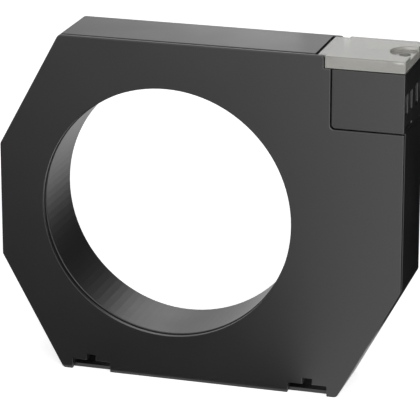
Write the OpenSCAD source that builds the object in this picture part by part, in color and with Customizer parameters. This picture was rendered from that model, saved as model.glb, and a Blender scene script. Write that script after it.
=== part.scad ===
// Window-type summation current transformer in a flat moulded housing.
// The conductors of a circuit pass through the round window. Behind the
// front cover lie a tape-wound ring core, its two windings and their shield.
// A terminal housing in the top right corner carries four screw terminals
// under a clear hinged cover.
// Frame: X to the right, Z up, the front cover faces -Y. The origin is on
// the bottom edge, half way across the width and the depth.

/* [Window] */
// Clear diameter of the conductor window
window_d = 105; // [96:1:106]
// Distance from the window to the housing's left side
margin_left = 18.8; // [18:0.1:22]
// Distance from the window to the housing's right side
margin_right = 46.2; // [45:0.1:50]
// Distance from the window to the top and to the base
margin_z = 19.5; // [19:0.1:24]
// Wall of the sleeve that lines the window
sleeve_wall = 2; // [1.6:0.1:2.4]
// Extra radius of the hole in the front cover over the sleeve
cover_hole_extra = 0.45; // [0.3:0.05:0.8]

/* [Housing] */
// Overall depth, front cover included
body_d = 32.5; // [32:0.5:38]
// Width that each corner bevel takes off
bevel_w = 26; // [24:1:28]
// Height that each corner bevel takes off
bevel_h = 48; // [42:1:50]
// Radius of the outline's corners
corner_r = 2; // [1:0.5:3]
// Thickness of the housing's walls
wall = 2; // [1.8:0.1:2.2]
// Thickness of the front cover's plate
plate_t = 1.7; // [1.5:0.1:2.2]
// Width of the shadow groove between the plate and the housing
groove = 1.1; // [0.8:0.1:1.4]

/* [Bracket slots] */
// Distance of each bracket slot from the housing's middle
slot_x = 46.6; // [44:0.2:47]
// Width of a bracket slot
slot_w = 16.4; // [14:0.2:17]
// Height of the top of a bracket slot above the base
slot_h = 4.4; // [4:0.1:5]
// Thickness of the floor strip under a bracket slot
slot_floor = 1.6; // [1.2:0.1:2]
// Width of the catch notch above a bracket slot
catch_w = 3.8; // [3:0.1:4]
// Height of the top of the catch notch above the base
catch_h = 7; // [6:0.1:8]

/* [Terminal corner] */
// Width of the terminal housing
term_w = 29.7; // [29:0.1:31]
// Height of the terminal housing
term_h = 24.3; // [24:0.1:26]
// Height of the terminal cover's skirt
skirt_h = 4.9; // [4.8:0.1:5.4]
// Gap round the terminal housing
seam = 0.4; // [0.3:0.1:0.6]
// Wall of the terminal housing
term_wall = 1.6; // [1.4:0.1:1.8]
// Radius of the terminal housing's inner lower corner
term_corner_r = 1.7; // [1:0.1:2.5]

/* [Terminals] */
// Distance between the two terminals of a pair
pair_pitch = 7.6; // [7.4:0.1:7.8]
// Distance of the outer terminals from the front and from the back
terminal_edge = 3.75; // [3.6:0.05:4]
// Width of a wire mouth
mouth_w = 5.2; // [4.6:0.1:5.2]
// Height of a wire mouth
mouth_h = 7.2; // [6.8:0.1:7.4]
// Height of the top of the wire mouths above the terminal housing's base
mouth_top = 15; // [14.8:0.1:15.2]
// Radius of a terminal screw's thread
screw_r = 1.45; // [1.2:0.05:1.5]
// Radius of a terminal screw's head
screw_head_r = 2.5; // [2.2:0.1:2.6]
// Travel of a clamp from open to closed
clamp_travel = 2.4; // [2:0.1:2.6]

/* [Terminal cover] */
// Thickness of the clear cover's top
cover_t = 1.5; // [1.2:0.1:1.8]
// Radius of the hinge pins
pin_r = 0.8; // [0.6:0.05:0.9]
// Distance of the hinge axis below the top face
pin_drop = 1.5; // [1.4:0.1:1.6]
// Radius of the finger recess
recess_r = 7.5; // [6:0.1:8]
// Depth of the finger recess
recess_depth = 1.5; // [1:0.1:1.8]
// Radius of the sealing hole
seal_hole_r = 2.4; // [1.5:0.1:2.8]

/* [Coil] */
// Radial thickness of the tape-wound core
core_build = 6; // [4:0.5:6.5]
// Axial height of the tape-wound core
core_h = 13; // [10:0.5:13]
// Wall of the core's plastic case
case_wall = 0.8; // [0.6:0.1:0.9]
// Thickness of the secondary winding
winding_t = 1.2; // [0.8:0.1:1.3]
// Thickness of the insulating wrap
wrap_t = 0.3; // [0.2:0.05:0.35]
// Thickness of the magnetic shield sleeve
shield_t = 0.5; // [0.3:0.1:0.6]
// Diameter of an insulated lead
lead_d = 1.3; // [1:0.1:1.4]

/* [Housing screws] */
// Radius of a housing screw's thread
fix_r = 1.45; // [1.2:0.05:1.5]
// Radius of a housing screw's head
fix_head_r = 2.5; // [2.2:0.1:2.5]
// Length of a housing screw under its head
fix_length = 9; // [7:0.5:9.5]

/* [Hidden] */
$fn = 96;
eps = 0.01;
clear = 0.15;
run = 0.05;

// Planes of the housing
body_w = margin_left + window_d + margin_right;
body_h = window_d + 2 * margin_z;
right = body_w / 2;
y_front = -body_d / 2;
y_back = body_d / 2;
y_plate = y_front + plate_t;
y_body = y_plate + groove;
y_floor = y_back - wall;

// Window and sleeve
window_r = window_d / 2;
window_x = -right + margin_left + window_r;
window_z = body_h / 2;
sleeve_r = window_r + sleeve_wall;
cover_hole_r = window_r + cover_hole_extra;

// Inner lip of the front cover, which enters the housing
lip_t = 1.2;
lip_reach = 3;

// Walls round the bracket slots and ribs that centre the coil
channel_wall = 1.6;
rib_t = 1.5;
rib_h = 1.2;
rib_reach = 2;

// Terminal corner
term_x = right - term_w;
term_z = body_h - skirt_h - 2 * run - term_h - seam / 2;
term_top = term_z + term_h;
skirt_z = body_h - skirt_h;
pocket_x = term_x - seam;
pocket_z = term_z - seam;
lobe_x = pocket_x - 2.8;
lobe_r = 1.3;
hinge_x = lobe_x - 2;
hinge_z = body_h - pin_drop;
barrel_r = 1.1;
cover_x = hinge_x - barrel_r;
hinge_gap = 1.1;
recess_x = cover_x - hinge_gap;
skirt_t = 1.5;
front_skirt_x = lobe_x + 0.3;
back_skirt_x = lobe_x + 2.7;
cover_corner_r = 3.5;
recess_floor_t = 1.2;
recess_mid_x = right - 2.4;
seal_x = right - 4;
pull_rib_t = 0.8;
pull_rib_l = 10;
pin_seat = 1.2;

// Snap tongue in the pocket's side wall, and the slot that frees it
snap_y = 5;
snap_z0 = term_z + 7;
snap_h = 6;
snap_hook = 0.8;
release_y = y_front + 2;
release_l = 12;
release_z = term_z + 1;
release_t = 1.1;
release_depth = 0.9;

// Terminals, from the front to the back
term_y = [
    y_front + terminal_edge,
    y_front + terminal_edge + pair_pitch,
    y_back - terminal_edge - pair_pitch,
    y_back - terminal_edge
];
mouth_z1 = term_z + mouth_top;
mouth_z0 = mouth_z1 - mouth_h;
lip_slope = 1;
bar_t = 1;
bar_w = 3;
leg_w = 1.6;
bar_z = mouth_z0 + 2.1;
tab_t = 0.8;
tab_w = 4.6;
tab_x = right - term_wall - 0.3 - tab_t;
clamp_w = 5;
clamp_l = 6.4;
clamp_wall = 0.9;
clamp_foot = 1.15;
clamp_head = 3;
screw_gap = 0.2;
clamp_x1 = tab_x - 0.3;
clamp_x0 = clamp_x1 - clamp_l;
clamp_z0 = bar_z - run - clamp_travel - clamp_foot;
clamp_head_z = bar_z + bar_t + run;
clamp_top = clamp_head_z + clamp_head;
screw_x = (clamp_x0 + clamp_x1) / 2;
cell_w = clamp_w + 2 * screw_gap;
cell_x = clamp_x0 - 0.5;
cell_top = clamp_top + clamp_travel + 0.5;
ledge_t = 1.2;
head_z = cell_top + ledge_t + run;
head_h = 2.2;
driver_slot_w = 0.8;
driver_slot_h = 1.2;
well_gap = 0.3;
well_r = screw_head_r + well_gap;

// Terminal board and the bars' legs
board_t = 1.6;
board_z = term_z + 3.2;
board_x0 = term_x + term_wall + 1;
board_x1 = cell_x - 1.2;
leg_x = board_x1 - 3;
board_w = body_d - 2 * term_wall - 1.4;
chamber_x1 = cell_x - 1;
chamber_roof = 2;
rail_t = 1.2;
rail_bite = 0.5;

// Parts on the board
part_x = board_x0 + 7.4;
part_y = board_w / 4;
diode_r = 2.2;
diode_l = 8;
resistor_r = 1.8;
resistor_l = 9;

// Coil, from the sleeve outwards
shield_r0 = sleeve_r + lip_t + 2 * clear;
shield_r1 = shield_r0 + shield_t;
wrap_r0 = shield_r1 + clear;
wind_r0 = wrap_r0 + wrap_t;
case_r0 = wind_r0 + winding_t;
core_r0 = case_r0 + case_wall;
core_r1 = core_r0 + core_build;
case_r1 = core_r1 + case_wall;
wind_r1 = case_r1 + winding_t;
wrap_r1 = wind_r1 + wrap_t;
case_h = core_h + 2 * case_wall;
wind_h = case_h + 2 * winding_t;
wrap_h = wind_h + 2 * wrap_t;
pad_t = 2.5;
coil_y = y_floor - pad_t - wrap_h / 2;
coil_y0 = coil_y - wrap_h / 2;
coil_y1 = coil_y + wrap_h / 2;
pad_r0 = core_r0;
pad_r1 = core_r1;
press_inset = 1;
test_angle = 8;
test_width = 10;
test_r1 = wrap_r1 + 0.8;

// Leads: where they leave the coil, and their port in the pocket's floor
lead_angle = 30;
lead_pitch = lead_d + 0.9;
bundle_pitch = lead_d + 0.14;
port_r = 1.9;
port_x = term_x + 6;
port_y = coil_y0 + 1.85;

// Housing screws: both left corners, lower right corner, right side and top
well_fix_r = fix_head_r + well_gap;
boss_wall = 1.2;
boss_r = well_fix_r + boss_wall;
post_l = 7;
post_y = y_body + post_l;
fix_floor_t = 2;
fix_seat_y = post_y + fix_floor_t;
fix_head_h = 1.8;
fix_tip_gap = 0.3;
cross_l = 3.2;
cross_w = 0.6;
cross_floor = 0.8;
fix_corner_x = right - bevel_w + 1;
fix_corner_z = 12;
fix_edge = 7;
fix_pocket_gap = 6;
fix_recess_gap = 5;
fix_spots = [
    [-fix_corner_x, fix_corner_z],
    [-fix_corner_x, body_h - fix_corner_z],
    [fix_corner_x, fix_corner_z],
    [right - fix_edge, bevel_h + fix_edge],
    [right - fix_edge, pocket_z - wall - fix_pocket_gap],
    [recess_x - wall - fix_recess_gap, body_h - fix_edge]
];

// A flat outline in X and Z, given thickness between two planes of Y
module along_y(y0, y1) {
    translate([0, y1, 0])
        rotate([90, 0, 0])
            linear_extrude(y1 - y0)
                children();
}

// A round bar or bore along Y
module y_rod(r, y0, y1, x, z) {
    translate([x, y1, z])
        rotate([90, 0, 0])
            cylinder(r = r, h = y1 - y0);
}

// A block given by its lowest and highest corners
module block(low, high) {
    translate(low)
        cube(high - low);
}

// A ring round the window's axis
module window_ring(r0, r1, y0, y1) {
    difference() {
        y_rod(r1, y0, y1, window_x, window_z);
        y_rod(r0, y0 - 1, y1 + 1, window_x, window_z);
    }
}

// Outline of the housing: a rectangle with three long corner bevels
module housing_outline(inset = 0) {
    offset(r = corner_r, $fn = 32)
        offset(delta = -corner_r - inset)
            polygon([
                [-right + bevel_w, 0],
                [right - bevel_w, 0],
                [right, bevel_h],
                [right, body_h],
                [-right + bevel_w, body_h],
                [-right, body_h - bevel_h],
                [-right, bevel_h]
            ]);
}

// Bracket slot: a wide slot with a catch notch above its middle
module slot_outline(x, low) {
    translate([x - slot_w / 2, low])
        square([slot_w, slot_h - low]);
    translate([x - catch_w / 2, slot_h - eps])
        square([catch_w, catch_h - slot_h + eps]);
}

// The terminal corner's cut in the front plate, with its round inner corner
module corner_cut() {
    reach = body_w;
    difference() {
        translate([pocket_x, pocket_z])
            square(reach);
        difference() {
            translate([pocket_x - eps, pocket_z - eps])
                square(term_corner_r + eps);
            translate([pocket_x + term_corner_r, pocket_z + term_corner_r])
                circle(r = term_corner_r, $fn = 48);
        }
    }
    translate([lobe_x, skirt_z - 2 * run])
        square(reach);
    translate([lobe_x - lobe_r, body_h - lobe_r])
        difference() {
            square(lobe_r + 1);
            circle(r = lobe_r, $fn = 48);
        }
}

// Rear housing: back wall, side walls, window sleeve, screw bosses,
// bracket channels and the open corner for the terminals
module rear_housing() {
    color("#1d1d1e")
        difference() {
            union() {
                housing_shell();
                window_ring(window_r, sleeve_r, y_body, y_back - eps);
                intersection() {
                    along_y(y_body, y_back)
                        housing_outline();
                    union() {
                        corner_walls();
                        for (side = [-1, 1])
                            block([side * slot_x - slot_w / 2 - channel_wall, y_body - 1, 0],
                                  [side * slot_x + slot_w / 2 + channel_wall, y_back + 1,
                                   slot_h + channel_wall]);
                        for (side = [-1, 1])
                            block([side * slot_x - catch_w / 2 - channel_wall, y_body - 1, slot_h],
                                  [side * slot_x + catch_w / 2 + channel_wall, y_back + 1,
                                   catch_h + channel_wall]);
                        for (spot = fix_spots)
                            y_rod(boss_r, post_y, y_back, spot[0], spot[1]);
                    }
                }
                coil_cradle();
            }
            y_rod(window_r, y_body - 1, y_back + 1, window_x, window_z);
            terminal_pocket();
            for (side = [-1, 1])
                along_y(y_body - 1, y_back + 1)
                    slot_outline(side * slot_x, slot_floor);
            for (spot = fix_spots) {
                y_rod(well_fix_r, fix_seat_y, y_back + 1, spot[0], spot[1]);
                y_rod(fix_r + run, post_y - 1, y_back, spot[0], spot[1]);
            }
            y_rod(pin_r + run, y_floor - 1, y_floor + pin_seat, hinge_x, hinge_z);
        }
}

// Open box that follows the housing's outline
module housing_shell() {
    difference() {
        along_y(y_body, y_back)
            housing_outline();
        along_y(y_body - 1, y_floor)
            housing_outline(wall);
    }
}

// Walls round the terminal corner and the cover's hinge recess
module corner_walls() {
    block([pocket_x - wall, y_body, pocket_z - wall], [right, y_back, body_h]);
    block([recess_x - wall, y_body, skirt_z - wall], [right, y_back, body_h]);
}

// The space that the terminal housing and its cover take in the corner
module terminal_pocket() {
    block([pocket_x, y_body - 1, pocket_z], [right + 1, y_back + 1, body_h + 1]);
    block([recess_x, y_body - 1, skirt_z - 2 * run], [right + 1, y_floor, body_h + 1]);
    block([lobe_x, y_body - 1, skirt_z - 2 * run], [right + 1, y_back + 1, body_h + 1]);
    translate([lobe_x - lobe_r, y_back + 1, body_h - lobe_r])
        rotate([90, 0, 0])
            difference() {
                cube([lobe_r + 1, lobe_r + 1, wall + 2]);
                translate([0, 0, -1])
                    cylinder(r = lobe_r, h = wall + 4, $fn = 48);
            }
    snap_window();
    lead_port();
}

// Window in the pocket's side wall for the terminal housing's snap tongue
module snap_window() {
    block([pocket_x - wall - 1, -snap_y - clear, snap_z0 - clear],
          [pocket_x + 1, snap_y + clear, snap_z0 + snap_h + 1 + clear]);
}

// Port in the pocket's floor for the coil's leads
module lead_port() {
    translate([port_x, port_y, pocket_z - wall - 1])
        cylinder(r = port_r, h = wall + 2);
}

// Four ribs on the back wall, which centre the coil round the sleeve
module coil_cradle() {
    for (turn = [45 : 90 : 315])
        translate([window_x, 0, window_z])
            rotate([0, turn, 0])
                block([wrap_r1 + clear, coil_y + rib_reach, -rib_t / 2],
                      [wrap_r1 + clear + rib_h, y_floor + eps, rib_t / 2]);
}

// Front cover: the plate, its locating lips and the screw posts
module front_cover() {
    color("#2e2e2f")
        difference() {
            union() {
                along_y(y_front, y_plate)
                    housing_outline();
                cover_lips();
                for (spot = fix_spots)
                    y_rod(fix_r + boss_wall, y_plate - eps, post_y, spot[0], spot[1]);
            }
            y_rod(cover_hole_r, y_front - 1, y_plate + eps, window_x, window_z);
            along_y(y_front - 1, y_plate + lip_reach + 2)
                corner_cut();
            for (side = [-1, 1])
                along_y(y_front - 1, y_plate + eps)
                    slot_outline(side * slot_x, -1);
            for (spot = fix_spots)
                y_rod(fix_r + run, fix_seat_y - fix_length - fix_tip_gap, post_y + 1,
                      spot[0], spot[1]);
            y_rod(pin_r + run, y_plate - pin_seat, y_plate + 1, hinge_x, hinge_z);
        }
}

// Lips behind the plate: one inside the housing's walls, one round the sleeve
module cover_lips() {
    edge = wall + clear;
    channel_gap = channel_wall + 2 * clear;
    y_end = y_body + lip_reach;
    difference() {
        along_y(y_plate - eps, y_end)
            housing_outline(edge);
        along_y(y_plate - 1, y_end + 1)
            housing_outline(edge + lip_t);
        block([pocket_x - wall - clear, y_plate, pocket_z - wall - clear],
              [right, y_end + 1, body_h]);
        block([recess_x - wall - clear, y_plate, skirt_z - wall - clear],
              [right, y_end + 1, body_h]);
        for (side = [-1, 1])
            block([side * slot_x - slot_w / 2 - channel_gap, y_plate - 1, -1],
                  [side * slot_x + slot_w / 2 + channel_gap, y_end + 1, catch_h + channel_gap]);
    }
    window_ring(sleeve_r + clear, sleeve_r + clear + lip_t, y_plate - eps, y_end);
    window_ring(pad_r0 + press_inset, pad_r1 - press_inset, y_plate - eps, coil_y0 - pad_t);
}

// Self-tapping screws that hold the front cover, driven from the back
module housing_screws() {
    color("#b8bcc0")
        for (spot = fix_spots)
            difference() {
                union() {
                    y_rod(fix_r, fix_seat_y - fix_length, fix_seat_y + eps, spot[0], spot[1]);
                    y_rod(fix_head_r, fix_seat_y, fix_seat_y + fix_head_h, spot[0], spot[1]);
                }
                for (turn = [0, 90])
                    translate([spot[0], 0, spot[1]])
                        rotate([0, turn, 0])
                            block([-cross_l / 2, fix_seat_y + cross_floor, -cross_w / 2],
                                  [cross_l / 2, fix_seat_y + fix_head_h + 1, cross_w / 2]);
            }
}

// Terminal housing: four clamp cells with wire mouths on the right, screw
// wells on top and a chamber for the terminal board on the left
module terminal_housing() {
    color("#2e2e2f")
        difference() {
            union() {
                block([term_x, y_front, term_z], [right, y_back, term_top]);
                block([pocket_x - wall - clear, -snap_y, snap_z0],
                      [term_x + eps, snap_y, snap_z0 + snap_h]);
                block([pocket_x - wall - clear - snap_hook, -snap_y, snap_z0],
                      [pocket_x - wall - clear + eps, snap_y, snap_z0 + snap_h + snap_hook]);
            }
            corner_round();
            block([term_x + term_wall, y_front + term_wall, term_z - 1],
                  [chamber_x1, y_back - term_wall, term_top - chamber_roof]);
            for (y = term_y)
                terminal_cell(y);
            release_slot();
        }
    board_ledges();
}

// Cut that rounds the lower inner corner of the terminal housing's front
module corner_round() {
    depth = plate_t + groove;
    translate([term_x, y_front + depth, term_z])
        rotate([90, 0, 0])
            difference() {
                translate([-eps, -eps, 0])
                    cube([term_corner_r + eps, term_corner_r + eps, depth + 1]);
                translate([term_corner_r, term_corner_r, -1])
                    cylinder(r = term_corner_r, h = depth + 3, $fn = 48);
            }
}

// One clamp cell: chamber, wire mouth with its sloped lip, screw hole and well
module terminal_cell(y) {
    block([cell_x, y - cell_w / 2, term_z - 1],
          [right - term_wall, y + cell_w / 2, cell_top]);
    block([cell_x - 2, y - bar_w / 2 - clear, term_z - 1],
          [cell_x + 1, y + bar_w / 2 + clear, bar_z + bar_t + clear]);
    along_y(y - mouth_w / 2, y + mouth_w / 2)
        polygon([
            [right - term_wall - 1, mouth_z0],
            [right - lip_slope, mouth_z0],
            [right + 1, mouth_z0 - lip_slope - 1],
            [right + 1, mouth_z1],
            [right - term_wall - 1, mouth_z1]
        ]);
    translate([screw_x, y, cell_top - 1])
        cylinder(r = screw_r + screw_gap, h = ledge_t + 2);
    translate([screw_x, y, head_z - run])
        cylinder(r = well_r, h = term_top - head_z + 1);
}

// Shallow slot low on the right side, where a blade frees the snap tongue
module release_slot() {
    block([right - release_depth, release_y, release_z],
          [right + 1, release_y + release_l, release_z + release_t]);
}

// Ledges under and over the board's front and back edges
module board_ledges() {
    color("#2e2e2f")
        for (side = [-1, 1])
            for (z = [board_z - rail_t, board_z + board_t])
                block([board_x0,
                       side > 0 ? board_w / 2 - rail_bite : y_front + term_wall - eps, z],
                      [leg_x - rail_bite,
                       side > 0 ? y_back - term_wall + eps : -board_w / 2 + rail_bite, z + rail_t]);
}

// Clear cover over the terminal screws, hinged at its left end
module terminal_cover() {
    leaf_y0 = y_plate + clear;
    leaf_y1 = y_floor - clear;
    floor_z = body_h - recess_depth - recess_floor_t;
    color([0.85, 0.87, 0.84, 0.55])
        difference() {
            union() {
                cover_top();
                block([cover_x, leaf_y0, body_h - cover_t],
                      [back_skirt_x + 1, leaf_y1, body_h]);
                y_rod(barrel_r, leaf_y0, leaf_y1, hinge_x, hinge_z);
                y_rod(pin_r, leaf_y0 - 1, leaf_y1 + 1, hinge_x, hinge_z);
                intersection() {
                    translate([recess_mid_x, 0, floor_z])
                        cylinder(r = recess_r + recess_floor_t, h = body_h - floor_z);
                    block([cover_x, y_front, floor_z], [right, y_back, body_h]);
                }
                block([recess_mid_x - recess_r - pull_rib_l, -pull_rib_t / 2,
                       body_h - cover_t - pull_rib_t],
                      [recess_mid_x - recess_r, pull_rib_t / 2, body_h - cover_t + eps]);
            }
            translate([recess_mid_x, 0, body_h - recess_depth])
                cylinder(r = recess_r, h = recess_depth + 1);
            block([recess_mid_x, -recess_r, body_h - recess_depth],
                  [right + 1, recess_r, body_h + 1]);
            translate([seal_x, 0, floor_z - 1])
                cylinder(r = seal_hole_r, h = recess_floor_t + 3);
        }
}

// Top and skirts of the cover: a shallow tray with a round rear corner
module cover_top() {
    difference() {
        cover_block(0, skirt_z, body_h);
        cover_block(skirt_t, skirt_z - 1, body_h - cover_t);
        block([cover_x - 1, y_plate + clear - 2, skirt_z - 1],
              [back_skirt_x, y_back + 1, body_h - cover_t]);
        block([front_skirt_x - 1, y_floor - clear, skirt_z - 1],
              [back_skirt_x, y_back + 1, body_h + 1]);
    }
    block([front_skirt_x, y_front, skirt_z], [back_skirt_x + 1, y_front + skirt_t, body_h]);
}

// Block with a round rear right corner, moved in by the given inset
module cover_block(inset, z0, z1) {
    r = cover_corner_r - inset;
    block([front_skirt_x, y_front + inset, z0], [right - inset, y_back - inset - r, z1]);
    block([front_skirt_x, y_back - inset - r - eps, z0], [right - inset - r, y_back - inset, z1]);
    translate([right - inset - r, y_back - inset - r, z0])
        cylinder(r = r, h = z1 - z0);
}

// Captive terminal screw: it only turns, and its thread lifts the clamp
module clamp_screw(y) {
    color("#c9cccf")
        difference() {
            union() {
                translate([screw_x, y, bar_z + bar_t + run])
                    cylinder(r = screw_r, h = head_z - bar_z - bar_t);
                translate([screw_x, y, head_z])
                    cylinder(r = screw_head_r, h = head_h);
            }
            block([screw_x - screw_head_r - 1, y - driver_slot_w / 2,
                   head_z + head_h - driver_slot_h],
                  [screw_x + screw_head_r + 1, y + driver_slot_w / 2, head_z + head_h + 1]);
        }
}

// Wire clamp: a steel cage, threaded on its screw, that closes by rising
module wire_clamp(y) {
    color("#9b9ea1")
        difference() {
            block([clamp_x0, y - clamp_w / 2, clamp_z0], [clamp_x1, y + clamp_w / 2, clamp_top]);
            block([clamp_x0 - 1, y - clamp_w / 2 + clamp_wall, clamp_z0 + clamp_foot],
                  [clamp_x1 + 1, y + clamp_w / 2 - clamp_wall, clamp_head_z]);
            translate([screw_x, y, clamp_head_z - 1])
                cylinder(r = screw_r + run, h = clamp_head + 2);
        }
}

// Contact bar: lies in the clamp, with a leg into the board and a front tab
module contact_bar(y) {
    color("#a9abad") {
        block([leg_x, y - bar_w / 2, bar_z], [tab_x + tab_t, y + bar_w / 2, bar_z + bar_t]);
        block([leg_x, y - leg_w / 2, board_z - 1.5], [leg_x + bar_t, y + leg_w / 2, bar_z + eps]);
        block([tab_x, y - tab_w / 2, bar_z], [tab_x + tab_t, y + tab_w / 2, mouth_z1 - 0.2]);
    }
}

// Terminal board, with slots for the bars' legs and holes for the leads
module terminal_board() {
    color("#3f6b4a")
        difference() {
            block([board_x0, -board_w / 2, board_z], [board_x1, board_w / 2, board_z + board_t]);
            for (y = term_y)
                block([leg_x - clear, y - leg_w / 2 - clear, board_z - 1],
                      [leg_x + bar_t + clear, y + leg_w / 2 + clear, board_z + board_t + 1]);
            for (i = [0 : 3])
                translate(lead_spot(i, lead_pitch / 2, board_z - 1))
                    cylinder(r = lead_d / 2 + clear, h = board_t + 2, $fn = 24);
        }
}

// Round part that lies on the board, along Y
module axial_part(y, length, r) {
    y_rod(r, y - length / 2, y + length / 2, part_x, board_z + board_t + r);
}

// Two-way surge diode, which caps the voltage of an open secondary
module surge_diode() {
    color("#303033")
        axial_part(part_y, diode_l, diode_r);
}

// Burden resistor across the test winding
module burden_resistor() {
    color("#5a7fa0")
        axial_part(-part_y, resistor_l, resistor_r);
}

// Tape-wound ring core
module ring_core() {
    color("#8d8f91")
        window_ring(core_r0 + run, core_r1 - run,
                    coil_y - core_h / 2 + run, coil_y + core_h / 2 - run);
}

// Plastic case round the core: a channel ring
module core_case() {
    color("#d8d4c6")
        difference() {
            window_ring(case_r0, case_r1, coil_y - core_h / 2, coil_y + case_h / 2);
            window_ring(core_r0, core_r1, coil_y - core_h / 2 - 1, coil_y + core_h / 2);
        }
}

// Flat lid that closes the core's case
module core_case_lid() {
    color("#d8d4c6")
        window_ring(case_r0, case_r1, coil_y - case_h / 2, coil_y - core_h / 2);
}

// Secondary winding, laid evenly round the case
module secondary_winding() {
    color("#a5562b")
        difference() {
            window_ring(wind_r0, wind_r1, coil_y - wind_h / 2, coil_y + wind_h / 2);
            window_ring(case_r0, case_r1, coil_y - case_h / 2, coil_y + case_h / 2);
        }
}

// Insulating wrap over the secondary winding
module insulating_wrap() {
    color("#d9b44a")
        difference() {
            window_ring(wrap_r0, wrap_r1, coil_y0, coil_y1);
            window_ring(wind_r0, wind_r1, coil_y - wind_h / 2, coil_y + wind_h / 2);
        }
}

// Test winding: a short band of turns over the wrap, on the terminal side
module test_winding() {
    color("#7c2f22")
        intersection() {
            window_ring(wrap_r1, test_r1, coil_y0, coil_y1);
            translate([window_x, 0, window_z])
                rotate([0, -test_angle, 0])
                    block([0, coil_y0 - 1, -test_width / 2],
                          [test_r1 + 1, coil_y1 + 1, test_width / 2]);
        }
}

// Soft magnetic sleeve between the window's sleeve and the coil
module shield_sleeve() {
    color("#77797c")
        window_ring(shield_r0, shield_r1, coil_y0, y_floor);
}

// Foam rings that hold the coil between the back wall and the front cover
module rear_pad() {
    color("#4a4a4c")
        window_ring(pad_r0, pad_r1, coil_y1, y_floor);
}

module front_pad() {
    color("#4a4a4c")
        window_ring(pad_r0, pad_r1, coil_y0 - pad_t, coil_y0);
}

// Leads from the coil to the board, in a bundle of two by two. The even ones
// keep to the window's side. Each starts flat on the coil's outside, rises
// through the port in the pocket's floor and ends in the board.
function lead_spot(i, d, z) =
    [port_x + (i % 2 == 0 ? -d : d), port_y + (i < 2 ? -d : d), z];

// Ring of points round a route point, square to the route's direction
function unit(v) = v / norm(v);
function heading(route, k) =
    k == 0 ? unit(route[1] - route[0])
    : k == len(route) - 1 ? unit(route[k] - route[k - 1])
    : unit(unit(route[k + 1] - route[k]) + unit(route[k] - route[k - 1]));
function ring_at(p, dir, r, sides) =
    let (u = unit(cross(dir, [0, 1, 0])), v = cross(dir, u))
    [for (s = [0 : sides - 1]) p + r * (cos(s * 360 / sides) * u + sin(s * 360 / sides) * v)];

module lead(route, lead_colour) {
    sides = 8;
    n = len(route);
    points = [for (k = [0 : n - 1]) each ring_at(route[k], heading(route, k), lead_d / 2, sides)];
    walls = [for (k = [0 : n - 2], s = [0 : sides - 1])
        [k * sides + s, k * sides + (s + 1) % sides,
         (k + 1) * sides + (s + 1) % sides, (k + 1) * sides + s]];
    ends = [[for (s = [sides - 1 : -1 : 0]) s], [for (s = [0 : sides - 1]) (n - 1) * sides + s]];
    color(lead_colour)
        polyhedron(points, concat(walls, ends));
}

// A point at a given angle and distance from the window's axis
function polar(a, r, y) = [window_x + r * cos(a), y, window_z + r * sin(a)];

function lead_route(i, a, r) =
    let (side = bundle_pitch / 2, low = lead_spot(i, side, pocket_z - wall - 6))
    [
        polar(a, r, low[1]),
        polar(a, r + 3, low[1]),
        low,
        lead_spot(i, side, pocket_z - wall - 1),
        lead_spot(i, side, pocket_z + 0.4),
        lead_spot(i, lead_pitch / 2, board_z - 1.4),
        lead_spot(i, lead_pitch / 2, board_z + board_t)
    ];

rear_housing();
front_cover();
housing_screws();
terminal_housing();
terminal_cover();
clamp_screw(term_y[0]);  // clamp_screw_1
clamp_screw(term_y[1]);  // clamp_screw_2
clamp_screw(term_y[2]);  // clamp_screw_3
clamp_screw(term_y[3]);  // clamp_screw_4
wire_clamp(term_y[0]);  // wire_clamp_1
wire_clamp(term_y[1]);  // wire_clamp_2
wire_clamp(term_y[2]);  // wire_clamp_3
wire_clamp(term_y[3]);  // wire_clamp_4
contact_bar(term_y[0]);  // contact_bar_1
contact_bar(term_y[1]);  // contact_bar_2
contact_bar(term_y[2]);  // contact_bar_3
contact_bar(term_y[3]);  // contact_bar_4
terminal_board();
surge_diode();
burden_resistor();
ring_core();
core_case();
core_case_lid();
secondary_winding();
test_winding();
insulating_wrap();
shield_sleeve();
rear_pad();
front_pad();
lead(lead_route(0, lead_angle, wrap_r1), "#b03030");  // secondary_lead_1
lead(lead_route(2, lead_angle, wrap_r1), "#2f2f31");  // secondary_lead_2
lead(lead_route(1, test_angle, test_r1), "#d8d8d8");  // test_lead_1
lead(lead_route(3, test_angle, test_r1), "#c8b030");  // test_lead_2
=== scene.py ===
"""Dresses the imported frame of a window-type current transformer and sets its studio.

Moulded and stamped pieces start as copies of their frame nodes. A copy is cleaned into
whole faces and its edges get the small radii of a real mould or die. Screws, windings
and the board's parts are modelled from primitives.
"""

import math

import bpy
from mathutils import Matrix, Vector


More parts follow.
